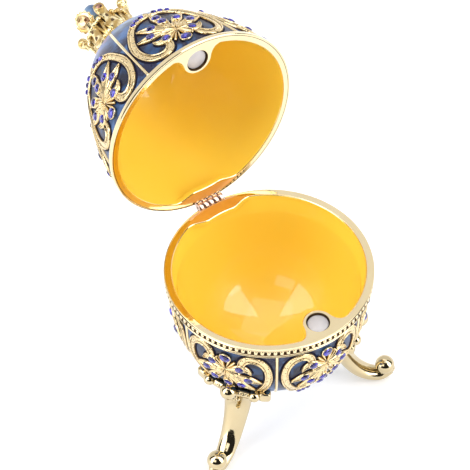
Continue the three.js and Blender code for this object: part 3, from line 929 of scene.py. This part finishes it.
def hinge_half(name, side, body, first, node, turned_back):
    """A leaf with every second knuckle from the first, each joined to it by a short tongue. It
    is made about the hinge axis with its ledge at -Y, and then turned back with its half."""
    face = -HINGE_Z + side * LEAF_SKIN + (PARTING_GAP if side > 0 else 0.0)
    low, high = sorted([face, face + side * LEAF_THICK])
    parts = [plate_rings((-HINGE_HALF, -LEAF_REACH, low), (HINGE_HALF, -KNUCKLE_RADIUS - LEAF_CLEAR, high))]
    for start in -HINGE_HALF + pitch * np.arange(first, KNUCKLES, 2):
        end = start + pitch - KNUCKLE_GAP
        parts.append(barrel_rings(KNUCKLE_RADIUS, start, end, HINGE_BEVEL))
        parts.append(plate_rings((start, TONGUE_FROM, low), (end, TONGUE_TO, high)))
    vertices, faces = gather(*[loft(part[None]) for part in parts])
    x, y, z = vertices.T
    cos, sin = math.cos(turned_back), math.sin(turned_back)
    vertices = np.stack([x, y * cos + z * sin + HINGE_Y + EGG_Y, z * cos - y * sin + HINGE_Z + RIM_Z], -1)
    piece = add_piece(name, vertices, faces, [copper_gold])
    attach(piece, body)
    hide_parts(node)


hinge_half("bowl_hinge", -1, "base", 0, "hinge_leaf_bowl", 0.0)
hinge_half("lid_hinge", 1, "lid", 1, "hinge_leaf_lid", OPEN)
pin = barrel_rings(PIN_RADIUS, -HINGE_HALF - PIN_PAST, HINGE_HALF + PIN_PAST, PIN_BEVEL, sides=20)
piece = add_piece("hinge_rod", *loft((pin + [0, HINGE_Y + EGG_Y, HINGE_Z + RIM_Z])[None]), [oxide_and_shade])
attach(piece, "base")
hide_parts("hinge_pin")

# ---- legs ----
# Three cast legs, gold plated and polished. Each has a bracket of small scrolls soldered
# round the bowl, a tapering S-shaped shank and a ball curled up on its toe.
LEG_NODES = {"leg_back": 90, "leg_left": 210, "leg_right": 330}
LEG_LINE = [
    # distance from the egg's axis, height, half width sideways, half depth
    (24.4, 28.6, 4.7, 1.4), (22.6, 25.8, 4.7, 2.0), (21.5, 22.0, 4.5, 2.3), (21.4, 18.0, 4.2, 2.4),
    (22.7, 13.4, 3.7, 2.4), (24.8, 9.0, 3.3, 2.3), (27.8, 5.0, 3.0, 2.1), (31.2, 2.6, 2.7, 1.95),
    (34.6, 2.0, 2.35, 1.95), (37.2, 3.9, 1.9, 1.8),
]
LEG_STEPS, LEG_SIDES, LEG_SQUARENESS = 64, 32, 0.9
TOE_BALL, TOE_RADIUS = (35.6, 0.0, 5.9), 2.95
TOE_CURL, CURL_RADIUS = (36.9, 0, 4.2), 1.95
# the bracket's balls: turn from the leg's middle in degrees, distance, height, radius
MIDDLE_BALL = (0, 27.1, 29.8, 2.5)
SIDE_BALLS = [
    (16, 25.9, 28.9, 1.8), (5.3, 25.6, 28.3, 0.95), (8.6, 25.6, 28.3, 0.85), (11.6, 25.5, 28.2, 0.8)]
ARM_REACH, ARM_HEIGHT, ARM_HALF_DEPTH, ARM_HALF_HEIGHT = 25.1, 28.0, 1.1, 1.4
TAB_TURN, TAB_REACH, TAB_HEIGHT, TAB_SIZE = 22.8, 25.3, 28.8, (1.75, 1.75, 1.3)
# a small flower of beads on the shank
FLOWER_REACH, FLOWER_HEIGHT, FLOWER_LEAN, PETALS_REACH = 24.0, 22.9, 0.3, 1.35
PETALS, PETAL_BEAD, MIDDLE_BEAD = 6, 0.75, 0.85
UP = np.array([0, 0, 1.0])


def ball_rings(radius, centre, squash=(1, 1, 1), count=12, sides=20):
    """A ball as rings of latitude."""
    up = np.linspace(-math.pi / 2, math.pi / 2, count + 2)[1:-1, None]
    turn = full_turn(sides)[None]
    points = np.stack([np.cos(up) * np.cos(turn), np.cos(up) * np.sin(turn), np.sin(up) + 0 * turn], -1)
    return points * squash * radius + np.array(centre)


def directions(azimuth):
    """The level directions outwards at an azimuth and sideways from it."""
    turn = math.radians(azimuth)
    return np.array([math.cos(turn), math.sin(turn), 0]), np.array([-math.sin(turn), math.cos(turn), 0])


def spot(azimuth, distance, height):
    """The point at an azimuth, a distance from the axis and a height."""
    return directions(azimuth)[0] * distance + UP * height


def bar_along(line, steps, sides, squareness=1.0):
    """A bar that follows a line of (distance, height, half width, half depth) rows. Returns
    the distance, the sideways offset and the height of each point of its oval rings."""
    line = smooth_line(line, steps)
    tangent = np.gradient(line[:, :2], axis=0)
    tangent /= np.linalg.norm(tangent, axis=1)[:, None]
    turn = full_turn(sides)[None]
    depth = np.sin(turn) * line[:, 3, None]
    distance = line[:, 0, None] - tangent[:, 1, None] * depth
    across = np.sign(np.cos(turn)) * np.abs(np.cos(turn)) ** squareness * line[:, 2, None]
    return distance, across, line[:, 1, None] + tangent[:, 0, None] * depth


def leg_parts():
    """A leg that points along +X: its shank, toe, flower and bracket, sunk into each other."""
    x, y, z = bar_along(LEG_LINE, LEG_STEPS, LEG_SIDES, LEG_SQUARENESS)
    parts = [np.stack([x, y, np.maximum(z, 0.0)], -1), ball_rings(TOE_RADIUS, TOE_BALL, count=20, sides=28),
             ball_rings(CURL_RADIUS, TOE_CURL, (1, 1, 0.7))]
    for turn, reach, height, radius in [MIDDLE_BALL] + SIDE_BALLS + [(-t, *rest) for t, *rest in SIDE_BALLS]:
        parts.append(ball_rings(radius, spot(turn, reach, height)))
    flower = np.array([FLOWER_REACH, 0, FLOWER_HEIGHT])
    for turn in full_turn(PETALS):
        cos, sin = math.cos(turn), math.sin(turn)
        petal = flower + (FLOWER_LEAN * sin, PETALS_REACH * cos, PETALS_REACH * sin)
        parts.append(ball_rings(PETAL_BEAD, petal, count=6, sides=10))
    parts.append(ball_rings(MIDDLE_BEAD, flower + (FLOWER_LEAN, 0, 0), count=6, sides=10))
    for turn in (-TAB_TURN, TAB_TURN):
        heading, side = directions(turn)
        tab = pillow_rings(TAB_SIZE, count=9, sides=16, power=0.45)
        tab = tab[..., 2:] * heading + tab[..., :1] * side + tab[..., 1:2] * UP
        parts.append(tab + spot(turn, TAB_REACH, TAB_HEIGHT))
    arm, around = np.radians(np.linspace(-TAB_TURN, TAB_TURN, 24))[:, None], full_turn(12)[None]
    reach = ARM_REACH + ARM_HALF_DEPTH * np.cos(around)
    height = ARM_HEIGHT + ARM_HALF_HEIGHT * np.sin(around)
    parts.append(np.stack([reach * np.cos(arm), reach * np.sin(arm), height + 0 * arm], -1))
    return gather(*[loft(part[None]) for part in parts])


# the legs get a darker copy of the gold, as painted shade
shaded_leg_gold = gold_finish("leg_gold_painted_shade", 0.74)
leg_vertices, leg_faces = leg_parts()
for node, azimuth in LEG_NODES.items():
    x, y, z = leg_vertices.T[..., None]
    heading, side = directions(azimuth)
    placed = x * heading + y * side + z * UP + [0, EGG_Y, 0]
    piece = add_piece(f"{node}_cast", placed, leg_faces, [shaded_leg_gold])
    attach(piece, "base")
    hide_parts(node)

# ---- crown ----
# A cast openwork finial stands on top of the lid: a cup of crossed bars over a wall that
# is painted dark as shade, with two rosettes set with champagne glass, two straps that end
# in a small brown stone, two plain balls, and an enamelled ball on a stem in the middle.
CROSSES, BAR_RADIUS, CROSS_BEAD, CROSS_BEAD_REACH = 20, 0.5, 0.9, 7.2
FOOT_RADIUS, FOOT_HEIGHT, CUP_RADIUS, CUP_HEIGHT = 7.0, 43.2, 6.8, 50.4
# hoops round the cup: radius, height, half width, half height
HOOPS = [(8.2, 41.3, 0.9, 0.9), (FOOT_RADIUS, FOOT_HEIGHT, 0.6, 0.6), (CUP_RADIUS, 50.6, 0.75, 0.6)]
# how each kind of lobe rises from the foot: distance, height, half width, half depth
ROSETTE_RISE = [
    (8.1, 41.6, 1.5, 0.6), (7.7, 44.5, 2.0, 0.75), (7.0, 47.5, 1.7, 0.75), (6.7, 50.5, 1.5, 0.8),
    (6.7, 53.4, 1.6, 0.8),
]
STRAP_RISE = [
    (8.1, 41.6, 1.4, 0.6), (7.8, 45.0, 1.8, 0.8), (7.2, 48.0, 1.5, 0.8), (7.1, 51.0, 1.5, 0.9),
    (7.2, 53.6, 1.8, 1.0), (7.0, 55.8, 1.2, 0.7),
]
BALL_RISE = [
    (8.1, 41.6, 1.0, 0.5), (7.6, 45.0, 1.2, 0.6), (7.2, 49.0, 1.1, 0.7), (7.6, 52.0, 1.2, 0.9),
    (8.2, 54.2, 0.8, 0.7),
]
RISE_STEPS, RISE_SIDES = 26, 18
# heights of the small dark spots of painted shade on each lobe
SHADE_SPOT_HEIGHTS = (45.4, 49.2)
# where the lobes' ends sit: distance and height
ROSETTE_PLACE, STRAP_END_PLACE, BALL_PLACE = (6.4, 55.2), (7.9, 53.8), (8.4, 55.0)
NOD = math.radians(25)
ROSETTE_BEADS, ROSETTE_BEAD, ROSETTE_BEADS_REACH = 14, 0.55, 3.05
LOBE_BALL, COLLAR_BEADS, COLLAR_BEAD, COLLAR_PLACE, COLLAR_REACH = 1.75, 7, 0.7, (8.2, 53.2), 1.35
# settings and stones: (radius, distance out)
ROSETTE_RING = [(2.3, -1.0), (2.95, -0.7), (3.2, 0.1), (3.05, 0.8), (2.65, 1.0), (2.2, 0.7)]
ROSETTE_STONE = [(2.2, 0.4), (2.25, 0.85), (1.75, 1.3), (1.0, 1.55)]
STRAP_RING = [(1.4, -0.6), (1.6, 0.2), (1.4, 0.5), (1.05, 0.4)]
STRAP_STONE = [(1.1, 0.1), (1.1, 0.4), (0.6, 0.7)]
crown_parts, champagne_stones, brown_stones, shade_spots = [], [], [], []


def cast(solids):
    """Adds solids to the crown's casting, from the closed lid's frame."""
    crown_parts.append(loft(place_lid(solids)))


def tube(start, end, radius, sides=8):
    """A straight bar between two points with flat ends."""
    start, end = np.array(start, dtype=float), np.array(end, dtype=float)
    axis = (end - start) / np.linalg.norm(end - start)
    side = np.cross(axis, [0.3, 0.2, 0.93])
    side /= np.linalg.norm(side)
    turn = full_turn(sides)[None, :, None]
    circle = (np.cos(turn) * side + np.sin(turn) * np.cross(axis, side)) * radius
    return circle + np.linspace(start, end, 3)[:, None, :]


def hoop(radius, height, wide, tall, sides=60, round_sides=10):
    """A hoop about the axis, as two half-turn tubes that meet inside each other."""
    turn = full_turn(round_sides)[None]
    reach, level = radius + wide * np.cos(turn), height + tall * np.sin(turn)
    parts = []
    for start in (0, math.pi):
        along = np.linspace(start, start + math.pi, sides // 2 + 1)[:, None]
        parts.append(np.stack([reach * np.cos(along), reach * np.sin(along), level + 0 * along], -1))
    return np.stack(parts)


def setting(centre, facing, above, steps, sides=28, stretch=1.0):
    """Rings of a round setting or stone: each step is a radius and a distance out along the
    way it faces, and stretch lengthens it upwards."""
    turn = full_turn(sides)[:, None]
    rim = np.cos(turn) * np.cross(above, facing) + np.sin(turn) * above * stretch
    return np.stack([centre + rim * r + facing * d for r, d in steps])


def rosette(azimuth):
    """A nodding flower of small beads round a large cut stone."""
    heading, side = directions(azimuth)
    facing = heading * math.cos(NOD) - UP * math.sin(NOD)
    above = heading * math.sin(NOD) + UP * math.cos(NOD)
    centre = spot(azimuth, *ROSETTE_PLACE)
    cast(setting(centre, facing, above, ROSETTE_RING)[None])
    cast(np.stack([
        ball_rings(ROSETTE_BEAD, centre + facing * 0.1 + ROSETTE_BEADS_REACH * (
            math.cos(turn) * side + math.sin(turn) * above), count=5, sides=8)
        for turn in full_turn(ROSETTE_BEADS)]))
    champagne_stones.append(setting(centre, facing, above, ROSETTE_STONE, 10))


def strap_end(azimuth):
    """A small round setting with a brown stone."""
    centre, heading = spot(azimuth, *STRAP_END_PLACE), directions(azimuth)[0]
    cast(setting(centre, heading, UP, STRAP_RING, 20)[None])
    brown_stones.append(setting(centre, heading, UP, STRAP_STONE, 8))


def ball_end(azimuth):
    """A plain ball on a tilted collar of beads."""
    heading, side = directions(azimuth)
    cast(ball_rings(LOBE_BALL, spot(azimuth, *BALL_PLACE))[None])
    outwards, centre = heading * 0.5 + UP * 0.2, spot(azimuth, *COLLAR_PLACE)
    cast(np.stack([
        ball_rings(COLLAR_BEAD, centre + outwards * math.sin(turn) + side * COLLAR_REACH * math.cos(turn),
                   count=5, sides=8)
        for turn in full_turn(COLLAR_BEADS)]))


for size in HOOPS:
    cast(hoop(*size))
bars, cross_beads = [], []
pitch = 360 / CROSSES
for low in pitch * np.arange(CROSSES):
    for top in (low - pitch / 2, low + pitch / 2):
        bars.append(tube(spot(low, FOOT_RADIUS, FOOT_HEIGHT), spot(top, CUP_RADIUS, CUP_HEIGHT), BAR_RADIUS))
    for height in (FOOT_HEIGHT + 1.0, CUP_HEIGHT + 0.1):
        centre = spot(low + pitch / 2, CROSS_BEAD_REACH, height)
        cross_beads.append(ball_rings(CROSS_BEAD, centre, count=5, sides=9))
cast(np.stack(bars))
cast(np.stack(cross_beads))
LOBES = [
    (rosette, ROSETTE_RISE, (30, 210)), (strap_end, STRAP_RISE, (82, 262)), (ball_end, BALL_RISE, (150, 330)),
]
for finish_lobe, rise, azimuths in LOBES:
    for azimuth in azimuths:
        finish_lobe(azimuth)
        heading, side = directions(azimuth)
        reach, across, height = (part[..., None] for part in bar_along(rise, RISE_STEPS, RISE_SIDES))
        cast((reach * heading + across * side + height * UP)[None])
        line = smooth_line(rise, 60)
        for height in SHADE_SPOT_HEIGHTS:
            reach, _, wide, deep = line[np.argmin(np.abs(line[:, 1] - height))]
            steps = [(wide * 0.3, -0.3), (wide * 0.3, 0.0), (wide * 0.2, 0.05)]
            shade_spots.append(setting(spot(azimuth, reach + deep, height), heading, UP, steps, 12, 1.9))

crown_gold, crown_surface, build = shader("crown_gold", (0.85, 0.66, 0.32), 0.2, Metallic=1.0)
cloud = clouds(build, 420.0, 3.0)
patches = build.out("ShaderNodeMapRange", Value=cloud, From_Min=0.40, From_Max=0.58)
feed(crown_surface, "Base Color", patches.mix(rgba(0.55, 0.37, 0.13), rgba(0.98, 0.84, 0.50)))
feed(crown_surface, "Roughness", 0.34 - patches * 0.2)
feed(crown_surface, "Normal", build.out("ShaderNodeBump", Height=cloud, Strength=0.6, Distance=0.0004))
piece = add_piece("crown_cast", *gather(*crown_parts), [crown_gold])
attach(piece, "lid")
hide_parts("crown")

# the cup's wall, painted dark as shade outside where the bars cross it, with its floor and the orb's stem
CUP_LINE = [
    (5.2, 40.6), (6.4, 42.5), (6.3, 50.5), (5.2, 50.7), (4.6, 48.0), (1.4, 47.6), (1.0, 52.0), (1.2, 58.8)]
SHADE_STRIP, CUP_SIDES = 1, 40
paint = np.zeros((len(CUP_LINE) + 1, CUP_SIDES), dtype=int)
paint[SHADE_STRIP] = 1
cup = loft(place_lid(revolved(CUP_LINE, CUP_SIDES))[None])
piece = add_piece("crown_cup", *cup, [gold, oxide_and_shade], paint.ravel())
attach(piece, "lid")
# small dark spots of painted shade on the lobes
piece = add_piece("crown_shade_spots", *loft(place_lid(np.stack(shade_spots))), [oxide_and_shade])
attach(piece, "lid")

champagne = foiled_glass("champagne_glass", (0.24, 0.10, 0.03), (0.92, 0.70, 0.34), cells=700.0,
                         roughness=0.05, metallic=0.6)
piece = add_piece("crown_stones", *loft(place_lid(np.stack(champagne_stones))), [champagne], smooth=False)
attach(piece, "lid")
brown_glass = foiled_glass("brown_glass", (0.06, 0.02, 0.015), (0.36, 0.16, 0.10), cells=900.0,
                           roughness=0.06, metallic=0.5)
piece = add_piece("crown_small_stones", *loft(place_lid(np.stack(brown_stones))), [brown_glass], smooth=False)
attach(piece, "lid")

# small blue stones round the crown's foot
FOOT_STONES, FOOT_STONE, FOOT_STONES_REACH, FOOT_STONES_HEIGHT = 40, 0.6, 9.4, 40.1
foot_stones = np.stack([
    ball_rings(FOOT_STONE, spot(azimuth, FOOT_STONES_REACH, FOOT_STONES_HEIGHT), count=3, sides=6)
    for azimuth in np.degrees(full_turn(FOOT_STONES))])
piece = add_piece("crown_base_stones", *loft(place_lid(foot_stones)), [blue_glass], smooth=False)
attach(piece, "lid")

# the orb gets a fixed share of the pearly streaks and painted sheen
ORB_RADIUS, ORB_HEIGHT, ORB_PEARL_AND_SHEEN = 2.7, 61.0, 0.4
orb_rings = ball_rings(ORB_RADIUS, (0, 0, ORB_HEIGHT), count=22, sides=36)
orb = add_piece("crown_ball", *loft(place_lid(orb_rings)[None]), [enamel])
for title, share in (("inside_ring", 0.0), ("towards_pole", ORB_PEARL_AND_SHEEN)):
    mark(orb, title, np.full(len(orb.data.vertices), share))
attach(orb, "lid")
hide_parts("crown_orb")
